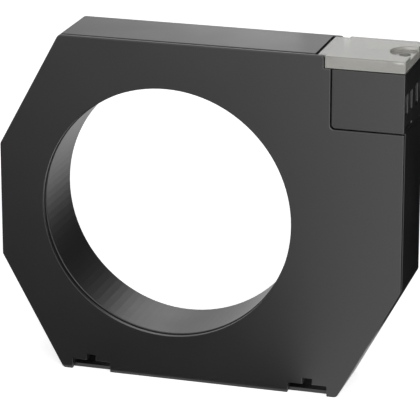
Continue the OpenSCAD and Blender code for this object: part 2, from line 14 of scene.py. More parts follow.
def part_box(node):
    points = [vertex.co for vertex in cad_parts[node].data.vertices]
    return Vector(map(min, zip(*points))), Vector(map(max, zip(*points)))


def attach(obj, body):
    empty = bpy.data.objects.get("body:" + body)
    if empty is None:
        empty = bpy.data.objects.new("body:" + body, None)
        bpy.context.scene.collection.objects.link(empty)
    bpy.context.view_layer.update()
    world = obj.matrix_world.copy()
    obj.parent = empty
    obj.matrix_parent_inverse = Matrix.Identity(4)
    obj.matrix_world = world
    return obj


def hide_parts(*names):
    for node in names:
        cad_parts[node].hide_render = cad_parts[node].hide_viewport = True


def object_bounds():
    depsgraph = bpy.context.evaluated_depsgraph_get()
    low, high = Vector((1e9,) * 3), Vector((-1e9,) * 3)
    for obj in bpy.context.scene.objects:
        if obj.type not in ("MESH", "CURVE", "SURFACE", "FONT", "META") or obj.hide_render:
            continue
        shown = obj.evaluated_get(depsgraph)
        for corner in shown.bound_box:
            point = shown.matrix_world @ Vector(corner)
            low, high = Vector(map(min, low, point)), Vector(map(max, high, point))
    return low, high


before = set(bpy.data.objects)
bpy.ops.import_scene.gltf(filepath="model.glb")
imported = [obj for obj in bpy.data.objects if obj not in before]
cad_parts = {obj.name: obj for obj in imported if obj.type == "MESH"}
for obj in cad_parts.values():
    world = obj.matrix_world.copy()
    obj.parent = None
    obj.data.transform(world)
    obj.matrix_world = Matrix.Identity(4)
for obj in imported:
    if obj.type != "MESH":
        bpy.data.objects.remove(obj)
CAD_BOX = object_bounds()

bl_info = {
    "name": "Current Transformer Looks",
    "version": (1, 0, 0),
    "blender": (4, 5, 0),
    "location": "3D View > Sidebar > Transformer",
    "description": "Models and dresses the pieces of a window-type current transformer",
    "category": "Object",
}

MM = 0.001
TERMINALS = (1, 2, 3, 4)
X, Y, Z = 0, 1, 2
MERGE_GAP = 0.015 * MM
FLAT_ANGLE = math.radians(0.8)
SHARP_ANGLE = math.radians(32)
SMOOTH_ANGLE = math.radians(50)
TOWARDS_BACK = Matrix.Rotation(math.radians(-90), 4, "X")


# ---------------------------------------------------------------- settings

def linear(hex_colour):
    """Linear RGBA of an sRGB hex colour such as #1d1d1e."""
    channels = [int(hex_colour[i:i + 2], 16) / 255 for i in (1, 3, 5)]
    return tuple(
        c / 12.92 if c <= 0.04045 else ((c + 0.055) / 1.055) ** 2.4 for c in channels
    ) + (1.0,)


def length_property(name, description, millimetres):
    """A length that a user may change."""
    return bpy.props.FloatProperty(
        name=name, description=description, default=millimetres * MM,
        min=0.0, precision=5, unit="LENGTH", subtype="DISTANCE",
    )


def colour_property(name, description, hex_colour):
    """A colour that a user may change."""
    return bpy.props.FloatVectorProperty(
        name=name, description=description, default=linear(hex_colour),
        min=0.0, max=1.0, size=4, subtype="COLOR",
    )


class TransformerSizes(bpy.types.PropertyGroup):
    """Sizes that the frame leaves open."""

    housing_radius: length_property(
        "Housing edge radius", "Radius along the edges of the rear housing", 0.35)
    cover_radius: length_property(
        "Front cover edge radius", "Radius along the edges of the front cover", 0.4)
    clear_radius: length_property(
        "Clear cover edge radius", "Radius along the edges of the clear terminal cover", 0.35)
    metal_radius: length_property(
        "Metal edge radius", "Radius that the die leaves on clamps and contact bars", 0.12)
    window_radius: length_property(
        "Window edge radius", "Radius round the front cover's window", 0.12)
    thread_depth: length_property(
        "Thread depth", "How deep the thread of a screw is cut", 0.22)
    wire: length_property(
        "Wire", "Diameter of the secondary winding's wire", 1.1)


class TransformerColours(bpy.types.PropertyGroup):
    """Colours of the visible finishes."""

    # The housing's colour is the front's plastic made darker: the difference is painted shade
    # that keeps the housing's sides dark
    housing: colour_property("Housing", "Black polycarbonate of the rear housing", "#141415")
    cover: colour_property("Front cover", "Graphite polycarbonate of the front", "#19191a")
    clear: colour_property("Clear cover", "Smoky clear polycarbonate", "#bdbcb6")
    bright_metal: colour_property("Bright metal", "Plated steel of screws", "#c4c6c8")
    clamp_metal: colour_property("Clamp metal", "Dull plated steel of the wire clamps", "#b9babc")
    tin: colour_property("Tinned copper", "Dull tin of the contact bars", "#a9aaab")
    copper: colour_property("Copper", "Enamelled wire of the secondary winding", "#a5552b")
    red_copper: colour_property("Red copper", "Enamelled wire of the test winding", "#8c3424")
    floor: colour_property("Floor", "Pale floor and backdrop", "#ececec")


def sizes():
    """The sizes that the user set."""
    return bpy.context.scene.transformer_sizes


def colours():
    """The colours that the user set."""
    return bpy.context.scene.transformer_colours


# ---------------------------------------------------------------- materials

def new_tree(name):
    """A material with an empty node tree."""
    material = bpy.data.materials.new(name)
    material.use_nodes = True
    material.node_tree.nodes.clear()
    return material, material.node_tree


def add_node(tree, kind, values=None, links=None, **node_settings):
    """Adds a node, sets its inputs to values, and links inputs to (node, output) pairs."""
    node = tree.nodes.new(kind)
    for key, value in node_settings.items():
        setattr(node, key, value)
    for key, value in (values or {}).items():
        node.inputs[key].default_value = value
    for key, (source, output) in (links or {}).items():
        tree.links.new(source.outputs[output], node.inputs[key])
    return node


def noise(tree, coordinates, size_mm, detail=2.0):
    """A noise whose features are about size_mm across."""
    return add_node(
        tree, "ShaderNodeTexNoise", {"Scale": 1 / (size_mm * MM), "Detail": detail},
        {"Vector": (coordinates, "Object")},
    )


def between(tree, source, output, low, high):
    """A value from low to high, as the source goes over the middle of its range."""
    return add_node(
        tree, "ShaderNodeMapRange",
        {"From Min": 0.3, "From Max": 0.7, "To Min": low, "To Max": high},
        {"Value": (source, output)},
    )


def tone(tree, source, output, colour, depth):
    """The colour and a slightly darker tone of it, mixed by the source."""
    dark = tuple(c * (1 - depth) for c in colour[:3]) + (1.0,)
    return add_node(
        tree, "ShaderNodeMix", {6: dark, 7: tuple(colour)}, {0: (source, output)},
        data_type="RGBA",
    )


def surface(tree, **inputs):
    """The material's shader and output. A pair links an input, and any other value sets it."""
    names = {key: key.replace("_", " ").title() for key in inputs}
    names.update({"ior": "IOR", "specular_ior_level": "Specular IOR Level"})
    values = {names[k]: v for k, v in inputs.items() if not is_link(v)}
    links = {names[k]: v for k, v in inputs.items() if is_link(v)}
    shader = add_node(tree, "ShaderNodeBsdfPrincipled", values, links)
    add_node(tree, "ShaderNodeOutputMaterial", links={"Surface": (shader, 0)})


def is_link(value):
    """Tells whether a value is a pair of a node and its output."""
    return isinstance(value, tuple) and isinstance(value[0], bpy.types.Node)


def moulded_polycarbonate(name, colour, roughness):
    """Polycarbonate from a spark-eroded mould: even satin with a grain of about a tenth of
    a millimetre, drawn at 0.25 mm so that it shows, and faint clouds where the melt cooled."""
    material, tree = new_tree(name)
    coordinates = add_node(tree, "ShaderNodeTexCoord")
    grain = noise(tree, coordinates, 0.25)
    clouds = noise(tree, coordinates, 30)
    bump = add_node(
        tree, "ShaderNodeBump", {"Strength": 0.25, "Distance": 0.02 * MM},
        {"Height": (grain, 0)},
    )
    surface(
        tree,
        base_color=(tone(tree, clouds, 0, colour, 0.06), 2),
        roughness=(between(tree, clouds, 0, roughness - 0.02, roughness + 0.02), 0),
        normal=(bump, 0),
        ior=1.58,
    )
    return material


def smoky_polycarbonate(name, colour):
    """Clear polycarbonate with a smoky tint and a finely etched surface, which scatters much
    of the light and takes the edge off its gloss, so that what lies under it shows only as
    soft shades."""
    material, tree = new_tree(name)
    coordinates = add_node(tree, "ShaderNodeTexCoord")
    etching = noise(tree, coordinates, 0.2)
    clouds = noise(tree, coordinates, 6)
    bump = add_node(
        tree, "ShaderNodeBump", {"Strength": 0.15, "Distance": 0.02 * MM},
        {"Height": (etching, 0)},
    )
    surface(
        tree,
        base_color=(tone(tree, clouds, 0, colour, 0.05), 2),
        roughness=(between(tree, clouds, 0, 0.1, 0.16), 0),
        normal=(bump, 0),
        transmission_weight=0.6,
        specular_ior_level=0.2,
        ior=1.58,
    )
    return material


def plated_metal(name, colour, roughness):
    """Electroplated sheet or wire: a fine crystalline grain and uneven dullness."""
    material, tree = new_tree(name)
    coordinates = add_node(tree, "ShaderNodeTexCoord")
    grain = noise(tree, coordinates, 0.3, detail=3.0)
    stains = noise(tree, coordinates, 2.5)
    bump = add_node(
        tree, "ShaderNodeBump", {"Strength": 0.2, "Distance": 0.01 * MM},
        {"Height": (grain, 0)},
    )
    surface(
        tree,
        base_color=(tone(tree, stains, 0, colour, 0.15), 2),
        metallic=1.0,
        roughness=(between(tree, stains, 0, roughness - 0.06, roughness + 0.06), 0),
        normal=(bump, 0),
    )
    return material


def enamelled_copper(name, colour):
    """Copper wire under a clear amber or red enamel: warm metal with a glassy coat, and
    slightly darker where the enamel ran thick."""
    material, tree = new_tree(name)
    coordinates = add_node(tree, "ShaderNodeTexCoord")
    runs = noise(tree, coordinates, 3)
    surface(
        tree,
        base_color=(tone(tree, runs, 0, colour, 0.2), 2),
        metallic=0.85,
        roughness=(between(tree, runs, 0, 0.25, 0.35), 0),
        coat_weight=0.5,
    )
    return material


def plain_finish(name, colour, roughness, grain_mm, grain_height):
    """A finish that isn't metal, with a grain of one size and height in millimetres."""
    material, tree = new_tree(name)
    coordinates = add_node(tree, "ShaderNodeTexCoord")
    grain = noise(tree, coordinates, grain_mm)
    clouds = noise(tree, coordinates, 4)
    bump = add_node(
        tree, "ShaderNodeBump", {"Strength": 0.5, "Distance": grain_height * MM},
        {"Height": (grain, 0)},
    )
    surface(
        tree,
        base_color=(tone(tree, clouds, 0, colour, 0.12), 2),
        roughness=(between(tree, clouds, 0, roughness - 0.05, roughness + 0.05), 0),
        normal=(bump, 0),
    )
    return material


def wound_tape(name, colour, axis):
    """Soft-magnetic tape wound flat on itself: its edges show as fine rings about the axis.
    Real tape is about 0.03 mm thick, and the rings are drawn 0.5 mm apart so that they show."""
    ring_spacing = 0.5 * MM
    wave_period = 0.1 * math.pi
    material, tree = new_tree(name)
    coordinates = add_node(tree, "ShaderNodeTexCoord")
    centred = add_node(
        tree, "ShaderNodeMapping", {"Location": (-axis.x, 0, -axis.z)},
        {"Vector": (coordinates, "Object")},
    )
    rings = add_node(
        tree, "ShaderNodeTexWave", {"Scale": wave_period / ring_spacing, "Distortion": 0.0},
        {"Vector": (centred, "Vector")}, wave_type="RINGS", rings_direction="Y",
    )
    bump = add_node(
        tree, "ShaderNodeBump", {"Strength": 0.6, "Distance": 0.05 * MM},
        {"Height": (rings, 1)},
    )
    surface(
        tree,
        base_color=(tone(tree, rings, 1, colour, 0.4), 2),
        metallic=1.0,
        roughness=0.35,
        normal=(bump, 0),
    )
    return material


# ---------------------------------------------------------------- modelling

def select_only(piece):
    """Leaves one object selected and active."""
    bpy.ops.object.select_all(action="DESELECT")
    piece.select_set(True)
    bpy.context.view_layer.objects.active = piece


def apply_modifier(piece, kind, **modifier_settings):
    """Adds a modifier and applies it."""
    select_only(piece)
    modifier = piece.modifiers.new(kind.title(), kind)
    for key, value in modifier_settings.items():
        setattr(modifier, key, value)
    bpy.ops.object.modifier_apply(modifier=modifier.name)


def turns_down(mesh, edge, first, second):
    """Tells whether the second face falls away from the first across their edge."""
    start, end = (mesh.vertices[index].co for index in edge.vertices)
    corners = list(second.vertices)
    after = corners[(corners.index(edge.vertices[0]) + 1) % len(corners)]
    inward = second.normal.cross(end - start)
    if after != edge.vertices[1]:
        inward = -inward
    return inward.dot(first.normal) < 0


def outer_planes(node):
    """The planes of a node's box: its front, back, left, right, bottom and top."""
    return [(axis, corner[axis]) for axis in (X, Y, Z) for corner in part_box(node)]


def outer_edges(piece, planes, keep=None):
    """Sharp outward edges that lie in one of the planes, each given as an axis and a place."""
    mesh = piece.data
    faces = {}
    for face in mesh.polygons:
        for key in face.edge_keys:
            faces.setdefault(key, []).append(face)
    chosen = []
    for edge in mesh.edges:
        first, second = faces[edge.key]
        if first.normal.dot(second.normal) > math.cos(SHARP_ANGLE):
            continue
        ends = [mesh.vertices[index].co for index in edge.vertices]
        lies_in = any(
            all(abs(end[axis] - place) < MERGE_GAP for end in ends) for axis, place in planes
        )
        if not lies_in or not turns_down(mesh, edge, first, second):
            continue
        side = first.normal + second.normal
        side.y = 0
        if keep is None or keep((ends[0] + ends[1]) / 2, side):
            chosen.append(edge)
    return chosen


def round_edges(piece, radius, planes, keep=None, segments=2):
    """Gives the outer edges in the planes a radius, and keeps flat faces flat."""
    for edge in outer_edges(piece, planes, keep):
        edge.select = True
    bpy.ops.object.mode_set(mode="EDIT")
    bpy.ops.mesh.select_mode(type="EDGE")
    bpy.ops.mesh.bevel(
        offset=radius, segments=segments, affect="EDGES", clamp_overlap=False,
        miter_outer="ARC",
    )
    bpy.ops.object.mode_set(mode="OBJECT")
    smooth_shades(piece)


def smooth_shades(piece):
    """Shades curved faces smoothly and flat faces flat."""
    select_only(piece)
    bpy.ops.object.shade_smooth_by_angle(angle=SMOOTH_ANGLE)
    apply_modifier(piece, "WEIGHTED_NORMAL", keep_sharp=True)


def copy_of(node, name):
    """A copy of a frame node with its doubles merged and its flat faces made whole."""
    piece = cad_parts[node].copy()
    piece.data = piece.data.copy()
    piece.name = name
    piece.parent = None
    for key in list(piece.keys()):
        del piece[key]
    bpy.context.scene.collection.objects.link(piece)
    select_only(piece)
    bpy.ops.mesh.customdata_custom_splitnormals_clear()
    bpy.ops.object.mode_set(mode="EDIT")
    bpy.ops.mesh.select_all(action="SELECT")
    bpy.ops.mesh.remove_doubles(threshold=MERGE_GAP)
    bpy.ops.mesh.dissolve_limited(angle_limit=FLAT_ANGLE)
    bpy.ops.mesh.select_all(action="DESELECT")
    bpy.ops.object.mode_set(mode="OBJECT")
    return piece


def turned(name, profile, sides=24):
    """A turned piece about the Z axis, drawn out from a disc through (radius, height) pairs
    in millimetres."""
    radius, height = profile[0]
    bpy.ops.object.select_all(action="DESELECT")
    bpy.ops.mesh.primitive_circle_add(
        vertices=sides, radius=radius * MM, fill_type="NGON", location=(0, 0, height * MM),
    )
    piece = bpy.context.object
    piece.name = name
    bpy.ops.object.mode_set(mode="EDIT")
    for (radius, height), (next_radius, next_height) in zip(profile, profile[1:]):
        rise = (0, 0, (next_height - height) * MM)
        growth = next_radius / radius
        bpy.ops.mesh.extrude_region_move(TRANSFORM_OT_translate={"value": rise})
        bpy.ops.transform.resize(value=(growth, growth, 1), center_override=(0, 0, 0))
    bpy.ops.mesh.select_all(action="SELECT")
    bpy.ops.mesh.normals_make_consistent(inside=False)
    bpy.ops.object.mode_set(mode="OBJECT")
    bpy.ops.object.transform_apply(location=True)
    return piece


def thread(radius, depth, start, end, pitch):
    """Profile of a thread between two heights. It is drawn as rings, one for each turn."""
    turns = int((end - start) / pitch)
    pairs = []
    for turn in range(turns):
        pairs.append((radius - depth, start + turn * pitch))
        pairs.append((radius, start + (turn + 0.5) * pitch))
    return pairs + [(radius - depth, start + turns * pitch)]


def cut_slot(piece, length, width, floor, top):
    """Cuts a slot along X into the top of a turned piece. All sizes are in millimetres."""
    bpy.ops.object.select_all(action="DESELECT")
    bpy.ops.mesh.primitive_cube_add(
        size=MM, scale=(length, width, top - floor + 1),
        location=(0, 0, (floor + top + 1) / 2 * MM),
    )
    cutter = bpy.context.object
    apply_modifier(piece, "BOOLEAN", operation="DIFFERENCE", solver="EXACT", object=cutter)
    bpy.data.objects.remove(cutter)


def copies_at(piece, matrices):
    """Copies of a piece, each with its own mesh moved by a matrix, in place of the piece."""
    copies = []
    for matrix in matrices:
        copy = piece.copy()
        copy.data = piece.data.copy()
        copy.data.transform(matrix)
        bpy.context.scene.collection.objects.link(copy)
        copies.append(copy)
    bpy.data.objects.remove(piece)
    return copies


def joined(pieces, name):
    """One piece made of several."""
    bpy.ops.object.select_all(action="DESELECT")
    for piece in pieces:
        piece.select_set(True)
    bpy.context.view_layer.objects.active = pieces[0]
    bpy.ops.object.join()
    pieces[0].name = name
    return pieces[0]


def window_axis():
    """A point on the window's axis, and the radius of the sleeve's outside."""
    low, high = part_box("shield_sleeve")
    return (low + high) / 2, (high.x - low.x) / 2


def ring_of(node):
    """Axis, inner and outer radius, and front and back of a ring about the window's axis."""
    axis, _ = window_axis()
    reaches = [
        math.hypot(vertex.co.x - axis.x, vertex.co.z - axis.z)
        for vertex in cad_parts[node].data.vertices
    ]
    low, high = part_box(node)
    return axis, min(reaches), max(reaches), low.y, high.y


def copied_round(piece, axis, count, angle):
    """Copies all of a piece about the window's axis, count times over the angle."""
    select_only(piece)
    bpy.ops.object.mode_set(mode="EDIT")
    bpy.ops.mesh.select_all(action="SELECT")
    bpy.ops.mesh.spin(
        steps=count - 1, dupli=True, angle=angle * (count - 1) / count,
        center=axis, axis=(0, 1, 0),
    )
    bpy.ops.object.mode_set(mode="OBJECT")
    bpy.ops.object.shade_smooth()


def finish_piece(piece, body, slot, material, *nodes):
    """Gives a piece its material and body, and lets it stand for its nodes. The slot is not used.
    """
    piece.data.materials.clear()
    piece.data.materials.append(material)
    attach(piece, body)
    if nodes:
        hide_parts(*nodes)


def dress_node(node, material):
    """Gives a frame node that stays in view its material."""
    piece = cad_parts[node]
    piece.data.materials.clear()
    piece.data.materials.append(material)


# ---------------------------------------------------------------- pieces

def by_window(place):
    """Tells whether a place lies round the window, within the sleeve's outside."""
    axis, reach = window_axis()
    return math.hypot(place.x - axis.x, place.z - axis.z) < reach


def is_outer_rim(piece, place, side):
    """Tells whether an edge of the housing's front rim lies on its outline or its window."""
    start = place + side.normalized() * MERGE_GAP + Vector((0, MM, 0))
    meets_wall, *_ = piece.ray_cast(start, side)
    axis, _ = window_axis()
    faces_axis = side.x * (place.x - axis.x) + side.z * (place.z - axis.z) < 0
    return not meets_wall or faces_axis and by_window(place)


class TRANSFORMER_OT_rear_housing(bpy.types.Operator):
    """Rear housing: walls, window sleeve, bosses and bracket channels in one moulding"""

    bl_idname = "transformer.rear_housing"
    bl_label = "Rear housing"

    def execute(self, context):
        piece = copy_of("rear_housing", "rear_housing_moulding")
        low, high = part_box("rear_housing")
        round_edges(
            piece, sizes().housing_radius, [(Y, high.y), (Y, low.y)],
            lambda place, side: place.y > 0 or is_outer_rim(piece, place, side),
        )
        # Darker than the front's plastic: painted shade on the housing's sides
        plastic = moulded_polycarbonate("Black satin polycarbonate with painted shade", colours().housing, 0.42)
        finish_piece(piece, "housing", "housing_plastic", plastic, "rear_housing")
        return {"FINISHED"}


class TRANSFORMER_OT_front(bpy.types.Operator):
    """Front cover and terminal housing, moulded in the same graphite plastic"""

    bl_idname = "transformer.front"
    bl_label = "Front cover and terminal housing"

    def execute(self, context):
        plastic = moulded_polycarbonate("Graphite satin polycarbonate", colours().cover, 0.42)
        for node in ("front_cover", "terminal_housing"):
            piece = copy_of(node, node + "_moulding")
            planes = outer_planes(node)
            round_edges(
                piece, sizes().cover_radius, planes, lambda place, side: not by_window(place),
            )
            if node == "front_cover":
                round_edges(
                    piece, sizes().window_radius, planes, lambda place, side: by_window(place),
                )
            finish_piece(piece, "housing", "front_plastic", plastic, node)
        return {"FINISHED"}


class TRANSFORMER_OT_terminal_cover(bpy.types.Operator):
    """Clear hinged cover over the terminal screws"""

    bl_idname = "transformer.terminal_cover"
    bl_label = "Terminal cover"

    def execute(self, context):
        piece = copy_of("terminal_cover", "terminal_cover_moulding")
        round_edges(
            piece, sizes().clear_radius, outer_planes("terminal_cover"), segments=3,
        )
        plastic = smoky_polycarbonate("Smoky clear polycarbonate", colours().clear)
        finish_piece(piece, "cover", "clear_cover", plastic, "terminal_cover")
        return {"FINISHED"}


class TRANSFORMER_OT_terminals(bpy.types.Operator):
    """Clamp screws, wire clamps and contact bars of the four terminals"""

    bl_idname = "transformer.terminals"
    bl_label = "Terminals"

    def execute(self, context):
        nickel = plated_metal("Nickel plated steel", colours().bright_metal, 0.28)
        zinc = plated_metal("Dull zinc plated steel", colours().clamp_metal, 0.42)
        tin = plated_metal("Tin plated copper", colours().tin, 0.45)
        screw = clamp_screw()
        places = []
        for number in TERMINALS:
            low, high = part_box(f"clamp_screw_{number}")
            centre = (low + high) / 2
            places.append(Matrix.Translation((centre.x, centre.y, high.z)))
        for number, piece in zip(TERMINALS, copies_at(screw, places)):
            node = f"clamp_screw_{number}"
            piece.name = node + "_turned"
            smooth_shades(piece)
            finish_piece(piece, f"screw_{number}", "screw_steel", nickel, node)
        rows = (
            ("wire_clamp_", "clamp_", "clamp_steel", zinc),
            ("contact_bar_", None, "tinned_copper", tin),
        )
        for number in TERMINALS:
            for stem, body_stem, slot, metal in rows:
                node = stem + str(number)
                body = body_stem + str(number) if body_stem else "housing"
                piece = copy_of(node, node + "_metal")
                round_edges(piece, sizes().metal_radius, outer_planes(node))
                finish_piece(piece, body, slot, metal, node)
        return {"FINISHED"}


def clamp_screw():
    """A cheese-head machine screw with a rolled thread and a driver slot, its head's top
    at height 0."""
    radius, head_radius, head_height, length, pitch = 1.45, 2.5, 2.2, 9.35, 0.5
    depth = sizes().thread_depth / MM
    profile = [(radius - 0.45, -length), (radius - depth, -length + 0.35)]
    profile += thread(radius, depth, -length + 0.5, -head_height - 0.35, pitch)
    profile += [
        (radius - depth, -head_height), (head_radius - 0.15, -head_height),
        (head_radius, -head_height + 0.15), (head_radius, -0.4), (head_radius - 0.12, -0.15),
        (head_radius - 0.35, 0),
    ]
    piece = turned("clamp_screw", profile, sides=32)
    slot_length, slot_width, slot_floor = 7, 0.8, -1.2
    cut_slot(piece, slot_length, slot_width, slot_floor, 0)
    return piece


# Corners nearer to each other than this belong to one screw's head
HEAD_SPREAD = 6 * MM


class TRANSFORMER_OT_housing_screws(bpy.types.Operator):
    """Self-tapping screws in the wells at the back"""

    bl_idname = "transformer.housing_screws"
    bl_label = "Housing screws"

    def execute(self, context):
        _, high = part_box("housing_screws")
        places = [
            Matrix.Translation(centre) @ TOWARDS_BACK
            for centre in head_centres("housing_screws", high.y)
        ]
        piece = joined(copies_at(housing_screw(), places), "housing_screw_set")
        smooth_shades(piece)
        zinc = plated_metal("Bright zinc plated steel", colours().bright_metal, 0.32)
        finish_piece(piece, "housing", "zinc_screws", zinc, "housing_screws")
        return {"FINISHED"}


def head_centres(node, top):
    """Centres of the screw heads' tops, from the corners round them."""
    heads = []
    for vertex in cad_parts[node].data.vertices:
        if vertex.co.y < top - MERGE_GAP:
            continue
        for head in heads:
            if (head[0] - vertex.co).length < HEAD_SPREAD:
                head.append(vertex.co)
                break
        else:
            heads.append([vertex.co])
    return [Vector((middle(head, X), top, middle(head, Z))) for head in heads]


def middle(points, axis):
    """The middle of the points' reach along an axis."""
    places = [point[axis] for point in points]
    return (min(places) + max(places)) / 2


def housing_screw():
    """A pan-head self-tapping screw with a coarse thread, a point and a cross recess, its
    head's top at height 0."""
    radius, head_radius, head_height, length, pitch = 1.45, 2.5, 1.8, 10.8, 1.1
    depth = 1.5 * sizes().thread_depth / MM
    profile = [(0.1, -length), (radius - depth, -length + 1.2)]
    profile += thread(radius, depth, -length + 1.4, -head_height - 0.5, pitch)
    profile += [
        (radius - depth, -head_height), (head_radius - 0.12, -head_height),
        (head_radius, -head_height + 0.12), (head_radius, -1.0), (head_radius - 0.15, -0.6),
        (head_radius - 0.55, -0.25), (head_radius - 1.2, -0.06), (head_radius - 1.7, 0),
    ]
    piece = turned("housing_screw", profile)
    recess_length, recess_width, recess_floor = 3.2, 0.6, -1
    cut_slot(piece, recess_length, recess_width, recess_floor, 0)
    piece.data.transform(Matrix.Rotation(math.radians(90), 4, "Z"))
    cut_slot(piece, recess_length, recess_width, recess_floor, 0)
    return piece


class TRANSFORMER_OT_windings(bpy.types.Operator):
    """Wound core, and the secondary and test windings"""

    bl_idname = "transformer.windings"
    bl_label = "Core and windings"

    def execute(self, context):
        piece = secondary_turns()
        copper = enamelled_copper("Amber enamelled copper wire", colours().copper)
        finish_piece(piece, "housing", "enamelled_wire", copper, "secondary_winding")
        piece = test_turns()
        copper = enamelled_copper("Red enamelled copper wire", colours().red_copper)
        finish_piece(piece, "housing", "test_wire", copper, "test_winding")
        axis, _ = window_axis()
        tape = wound_tape("Wound soft-magnetic tape", linear("#9b9da0"), axis)
        dress_node("ring_core", tape)
        return {"FINISHED"}


def secondary_turns():
    """Turns side by side round the core case: one rounded loop of wire, copied round."""
    axis, inner, outer, front, back = ring_of("secondary_winding")
    wire = sizes().wire
    bpy.ops.object.select_all(action="DESELECT")
    bpy.ops.mesh.primitive_plane_add(size=1, location=(axis.x, 0, axis.z))
    piece = bpy.context.object
    piece.name = "secondary_winding_turns"
    bpy.ops.object.mode_set(mode="EDIT")
    bpy.ops.transform.resize(
        value=(outer - inner - wire, back - front - wire, 1), center_override=piece.location,
    )
    bpy.ops.transform.translate(value=((outer + inner) / 2, (front + back) / 2, 0))
    corner = wire * 0.6
    bpy.ops.mesh.bevel(offset=corner, segments=1, affect="VERTICES")
    bpy.ops.mesh.delete(type="ONLY_FACE")
    bpy.ops.object.mode_set(mode="OBJECT")
    bpy.ops.object.transform_apply(location=True)
    bpy.ops.object.convert(target="CURVE")
    piece.data.bevel_depth = wire / 2
    piece.data.bevel_resolution = 1
    bpy.ops.object.convert(target="MESH")
    count = int(2 * math.pi * inner / wire)
    copied_round(piece, axis, count, 2 * math.pi)
    return piece


def test_turns():
    """The test winding's few turns where they cross the outside of the coil."""
    low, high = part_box("test_winding")
    centre = (low + high) / 2
    axis, inner, outer, front, back = ring_of("test_winding")
    radius = (outer - inner) / 2 / MM
    half = (back - front) / 2 / MM
    wire = turned("test_wire", [
        (radius * 0.5, -half), (radius, -half + radius), (radius, half - radius),
        (radius * 0.5, half),
    ], sides=10)
    width = math.hypot(high.x - low.x, high.z - low.z) - 2 * radius * MM
    start = math.atan2(centre.z - axis.z, centre.x - axis.x) - width / 2 / outer
    reach = (inner + outer) / 2
    place = Vector((
        axis.x + reach * math.cos(start), (front + back) / 2, axis.z + reach * math.sin(start),
    ))
    piece, = copies_at(wire, [Matrix.Translation(place) @ TOWARDS_BACK])
    piece.name = "test_winding_turns"
    count = int(width / (2 * radius * MM))
    copied_round(piece, axis, count, -width / outer)
    return piece


class TRANSFORMER_OT_board_parts(bpy.types.Operator):
    """Surge diode and burden resistor with their legs on the terminal board"""

    bl_idname = "transformer.board_parts"
    bl_label = "Board parts"

    def execute(self, context):
        # Satin black epoxy with a silver band at the cathode, and glossier blue lacquer
        # with a brown band
        rows = (
            ("surge_diode", "component_black", "Moulded epoxy", "#1b1b1c",
             "Silver ink", "#b9babc"),
            ("burden_resistor", "component_blue", "Blue lacquer on ceramic", "#4f7ea0",
             "Brown ink", "#4a2d1c"),
        )
        for node, slot, name, colour, ink_name, ink_colour in rows:
            piece = axial_part(node)
            body = plain_finish(name, linear(colour), 0.4, 0.2, 0.01)
            finish_piece(piece, "housing", slot, body, node)
            ink = plain_finish(ink_name, linear(ink_colour), 0.5, 0.2, 0.005)
            piece.data.materials.append(ink)
            tin = plated_metal("Tinned wire", colours().tin, 0.35)
            piece.data.materials.append(tin)
            ink_and_tin(piece, node)
        return {"FINISHED"}


# In millimetres: a leg's radius, how far it reaches past the body before it bends, and the
# two edges of the band, from the body's end
LEG_RADIUS = 0.4
LEG_REACH = 1.4
BAND_START, BAND_END = 2.4, 1.4


def axial_part(node):
    """A cylindrical component with round shoulders and a leg bent down at each end."""
    low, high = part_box(node)
    centre = (low + high) / 2
    radius = (high.x - low.x) / 2 / MM
    half = (high.y - low.y) / 2 / MM
    end = half + LEG_REACH
    profile = [
        (LEG_RADIUS, -end), (LEG_RADIUS, -half), (radius * 0.75, -half),
        (radius * 0.95, -half + 0.25), (radius, -half + 0.7), (radius, half - BAND_START),
        (radius, half - BAND_END), (radius, half - 0.7), (radius * 0.95, half - 0.25),
        (radius * 0.75, half), (LEG_RADIUS, half), (LEG_RADIUS, end),
    ]
    lying = Matrix.Translation(centre) @ TOWARDS_BACK
    body = copies_at(turned(node + "_body", profile), [lying])
    board_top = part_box("terminal_board")[1].z
    drop = (centre.z - board_top) / MM
    leg = turned(node + "_leg", [
        (LEG_RADIUS, -drop), (LEG_RADIUS, -LEG_RADIUS), (LEG_RADIUS, LEG_RADIUS * 0.5),
        (LEG_RADIUS * 0.5, LEG_RADIUS),
    ], sides=12)
    ends = (low.y - LEG_REACH * MM, high.y + LEG_REACH * MM)
    legs = copies_at(leg, [Matrix.Translation((centre.x, y, centre.z)) for y in ends])
    piece = joined(body + legs, node + "_part")
    smooth_shades(piece)
    return piece


def ink_and_tin(piece, node):
    """Gives the band near the back end its ink and the legs their tin."""
    low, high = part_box(node)
    body, ink, tin = range(3)
    for face in piece.data.polygons:
        place = face.center.y
        if not low.y - MERGE_GAP < place < high.y + MERGE_GAP:
            face.material_index = tin
        elif high.y - BAND_START * MM < place < high.y - BAND_END * MM:
            face.material_index = ink
        else:
            face.material_index = body


INNER_FINISHES = (
    # node, slot, material's name, colour, roughness, grain and its height in mm
    # Solder mask: glossy green, gently waved by the glass weave under it
    ("terminal_board", "board_laminate", "Solder mask on glass epoxy", "#1f5136", 0.3, 1.0, 0.01),
    # Moulded nylon without pigment: warm off-white with a soft skin
    ("core_case", "case_plastic", "Natural nylon", "#d8d0bc", 0.5, 0.4, 0.02),
    ("core_case_lid", "case_plastic", "Natural nylon lid", "#d8d0bc", 0.5, 0.4, 0.02),
    # Polyester film wound by hand: glossy amber, slightly creased
    ("insulating_wrap", "wrap_tape", "Amber polyester tape", "#c99a3c", 0.25, 2.0, 0.05),
    # Foam cut from sheet: dull dark gray, rough with cut cells
    ("rear_pad", "pad_foam", "Closed-cell foam", "#3a3a3c", 0.85, 0.5, 0.2),
    ("front_pad", "pad_foam", "Closed-cell foam", "#3a3a3c", 0.85, 0.5, 0.2),
    # Extruded vinyl: smooth, evenly coloured insulation
    ("secondary_lead_1", "lead_red", "Red vinyl insulation", "#b03030", 0.4, 0.3, 0.01),
    ("secondary_lead_2", "lead_black", "Black vinyl insulation", "#2f2f31", 0.4, 0.3, 0.01),
    ("test_lead_1", "lead_white", "White vinyl insulation", "#d8d8d8", 0.4, 0.3, 0.01),
    ("test_lead_2", "lead_yellow", "Yellow vinyl insulation", "#c8b030", 0.4, 0.3, 0.01),
)


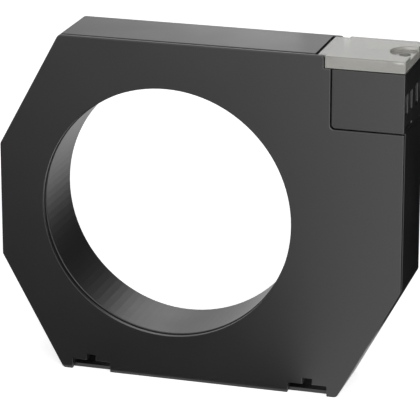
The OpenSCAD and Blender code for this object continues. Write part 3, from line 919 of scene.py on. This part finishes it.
class TRANSFORMER_OT_inner_parts(bpy.types.Operator):
    """Case, tape, shield, pads, board and leads inside the housing"""

    bl_idname = "transformer.inner_parts"
    bl_label = "Inner parts"

    def execute(self, context):
        for node, slot, name, colour, roughness, grain, height in INNER_FINISHES:
            finish = plain_finish(name, linear(colour), roughness, grain, height)
            dress_node(node, finish)
        steel = plated_metal("Annealed shielding sheet", linear("#a0a2a4"), 0.38)
        dress_node("shield_sleeve", steel)
        return {"FINISHED"}


# ---------------------------------------------------------------- studio

FLOOR_SIZE = 6.0
FLOOR_LIFT = 0.66
WORLD_LIGHT = 0.4

# The camera's angles are in degrees, its lens in millimetres and its aim from the middle of
# the object's front
CAMERA_AZIMUTH = 16.83
CAMERA_ELEVATION = 18.41
CAMERA_DISTANCE = 1.1613
CAMERA_AIM = Vector((0.0053, 0.0, 0.0037))
CAMERA_LENS = 245.8
CAMERA_NEAR = 0.05

SOFTBOXES = (
    # name, place, width, height, watts
    ("front_softbox", (0.35, -0.7, 0.4), 0.8, 0.8, 6.5),
    ("back_softbox", (-0.1, 0.73, 0.36), 0.3, 0.25, 0.28),
)

# Each card's glow and its corners: near left, near right, far or upper left, and right.
# The black ones are painted shade, seen only in reflections: they darken the right side, the
# lower left of the front and the sleeve. The glowing one is a painted reflection that hides
# the back softbox from the glossy terminal cover.
CARDS = {
    "side_card": (0, ((0.13, 0, 0), (0.13, 1.2, 0), (0.13, 0, 0.6), (0.13, 1.2, 0.6))),
    "side_floor_card": (0, (
        (0.087, 0, 0.001), (0.6, 0, 0.001), (-0.3, 1.2, 0.001), (0.6, 1.2, 0.001),
    )),
    "front_floor_card": (0, (
        (-0.7, -0.6, 0.001), (-0.12, -0.6, 0.001),
        (-0.7, -0.0165, 0.001), (0.045, -0.0165, 0.001),
    )),
    "cover_card": (1.2, (
        (0.025, 0.05, 0.147), (0.085, 0.05, 0.147), (0.025, 0.05, 0.2), (0.085, 0.05, 0.2),
    )),
}


def seen_directly(tree):
    """1 for rays from the camera, a glossy surface or a clear one, and 0 for other light."""
    path = add_node(tree, "ShaderNodeLightPath")
    some = add_node(
        tree, "ShaderNodeMath", links={0: (path, "Is Camera Ray"), 1: (path, "Is Glossy Ray")},
        operation="MAXIMUM",
    )
    return add_node(
        tree, "ShaderNodeMath", links={0: (some, 0), 1: (path, "Is Transmission Ray")},
        operation="MAXIMUM",
    )


def white_world():
    """A world that looks white and lights the object with a lower, even level."""
    world = bpy.data.worlds.new("White studio")
    world.use_nodes = True
    tree = world.node_tree
    tree.nodes.clear()
    white = add_node(tree, "ShaderNodeBackground", {"Color": (1, 1, 1, 1), "Strength": 1.0})
    light = add_node(
        tree, "ShaderNodeBackground", {"Color": (1, 1, 1, 1), "Strength": WORLD_LIGHT},
    )
    mix = add_node(
        tree, "ShaderNodeMixShader",
        links={0: (seen_directly(tree), 0), 1: (light, 0), 2: (white, 0)},
    )
    add_node(tree, "ShaderNodeOutputWorld", links={"Surface": (mix, 0)})
    bpy.context.scene.world = world


def pale_floor():
    """A matt floor that carries the shadow, lifted towards white where it is seen."""
    bpy.ops.object.select_all(action="DESELECT")
    bpy.ops.mesh.primitive_plane_add(size=FLOOR_SIZE)
    floor = bpy.context.object
    floor.name = "studio_floor"
    material, tree = new_tree("Matt white floor")
    matt = add_node(tree, "ShaderNodeBsdfDiffuse", {"Color": tuple(colours().floor)})
    lift = add_node(
        tree, "ShaderNodeEmission", {"Color": (1, 1, 1, 1), "Strength": FLOOR_LIFT},
    )
    both = add_node(tree, "ShaderNodeAddShader", links={0: (matt, 0), 1: (lift, 0)})
    mix = add_node(
        tree, "ShaderNodeMixShader",
        links={0: (seen_directly(tree), 0), 1: (matt, 0), 2: (both, 0)},
    )
    add_node(tree, "ShaderNodeOutputMaterial", links={"Surface": (mix, 0)})
    floor.data.materials.append(material)


def mirror_card(name, glow, corners):
    """An evenly glowing card that is only there for reflections: a painted reflection. A black
    one paints shade into what a satin or glossy surface mirrors, and a glowing one paints a
    pale glow there. It neither lights nor shadows the object nor shows by itself."""
    bpy.ops.object.select_all(action="DESELECT")
    bpy.ops.mesh.primitive_plane_add(size=1)
    card = bpy.context.object
    card.name = name
    for vertex, corner in zip(card.data.vertices, corners):
        vertex.co = corner
    material, tree = new_tree("Card")
    light = add_node(tree, "ShaderNodeEmission", {"Color": (1, 1, 1, 1), "Strength": glow})
    add_node(tree, "ShaderNodeOutputMaterial", links={"Surface": (light, 0)})
    card.data.materials.append(material)
    card.visible_camera = False
    card.visible_diffuse = False
    card.visible_shadow = False
    card.visible_transmission = False


def softbox(name, place, aim, width, height, power):
    """A rectangular soft light at a place, turned to its aim."""
    lamp = bpy.data.lights.new(name, "AREA")
    lamp.shape = "RECTANGLE"
    lamp.size = width
    lamp.size_y = height
    lamp.energy = power
    light = bpy.data.objects.new(name, lamp)
    light.location = place
    light.rotation_euler = (aim - Vector(place)).to_track_quat("-Z", "Y").to_euler()
    bpy.context.scene.collection.objects.link(light)


def set_camera():
    """Camera low over the front, a little to the right, looking down at the window."""
    low, high = CAD_BOX
    front = Vector(((low[0] + high[0]) / 2, low[1], (low[2] + high[2]) / 2))
    aim = front + CAMERA_AIM
    azimuth, elevation = math.radians(CAMERA_AZIMUTH), math.radians(CAMERA_ELEVATION)
    back = Vector((
        math.sin(azimuth) * math.cos(elevation),
        -math.cos(azimuth) * math.cos(elevation),
        math.sin(elevation),
    ))
    lens = bpy.data.cameras.new("studio_camera")
    lens.lens = CAMERA_LENS
    lens.clip_start = CAMERA_NEAR
    camera = bpy.data.objects.new("studio_camera", lens)
    camera.location = aim + back * CAMERA_DISTANCE
    camera.rotation_euler = back.to_track_quat("Z", "Y").to_euler()
    bpy.context.scene.collection.objects.link(camera)
    bpy.context.scene.camera = camera


class TRANSFORMER_OT_stage(bpy.types.Operator):
    """Floor, white surroundings, soft lights and camera"""

    bl_idname = "transformer.stage"
    bl_label = "Stage"

    def execute(self, context):
        white_world()
        pale_floor()
        centre = (CAD_BOX[0] + CAD_BOX[1]) / 2
        for name, place, width, height, power in SOFTBOXES:
            softbox(name, place, centre, width, height, power)
        for name, (glow, corners) in CARDS.items():
            mirror_card(name, glow, corners)
        set_camera()
        bpy.context.scene.view_settings.view_transform = "Standard"
        return {"FINISHED"}


class TRANSFORMER_PT_panel(bpy.types.Panel):
    """Lists the sizes, the colours and the builders"""

    bl_idname = "TRANSFORMER_PT_panel"
    bl_label = "Current Transformer"
    bl_space_type = "VIEW_3D"
    bl_region_type = "UI"
    bl_category = "Transformer"

    def draw(self, context):
        for group in (sizes(), colours()):
            box = self.layout.box()
            for name in group.bl_rna.properties.keys():
                if name not in ("rna_type", "name"):
                    box.prop(group, name)
        for operator in BUILDERS:
            self.layout.operator(operator.bl_idname)


BUILDERS = (
    TRANSFORMER_OT_rear_housing,
    TRANSFORMER_OT_front,
    TRANSFORMER_OT_terminal_cover,
    TRANSFORMER_OT_terminals,
    TRANSFORMER_OT_housing_screws,
    TRANSFORMER_OT_windings,
    TRANSFORMER_OT_board_parts,
    TRANSFORMER_OT_inner_parts,
    TRANSFORMER_OT_stage,
)
GROUPS = (TransformerSizes, TransformerColours)


def register():
    """Registers the settings, the builders and the panel."""
    for cls in GROUPS + BUILDERS + (TRANSFORMER_PT_panel,):
        bpy.utils.register_class(cls)
    bpy.types.Scene.transformer_sizes = bpy.props.PointerProperty(type=TransformerSizes)
    bpy.types.Scene.transformer_colours = bpy.props.PointerProperty(type=TransformerColours)


def unregister():
    """Takes all of them away again."""
    del bpy.types.Scene.transformer_colours
    del bpy.types.Scene.transformer_sizes
    for cls in reversed(GROUPS + BUILDERS + (TRANSFORMER_PT_panel,)):
        bpy.utils.unregister_class(cls)


def main():
    register()
    for operator in BUILDERS:
        group, name = operator.bl_idname.split(".")
        getattr(getattr(bpy.ops, group), name)()


if __name__ == "__main__":
    main()
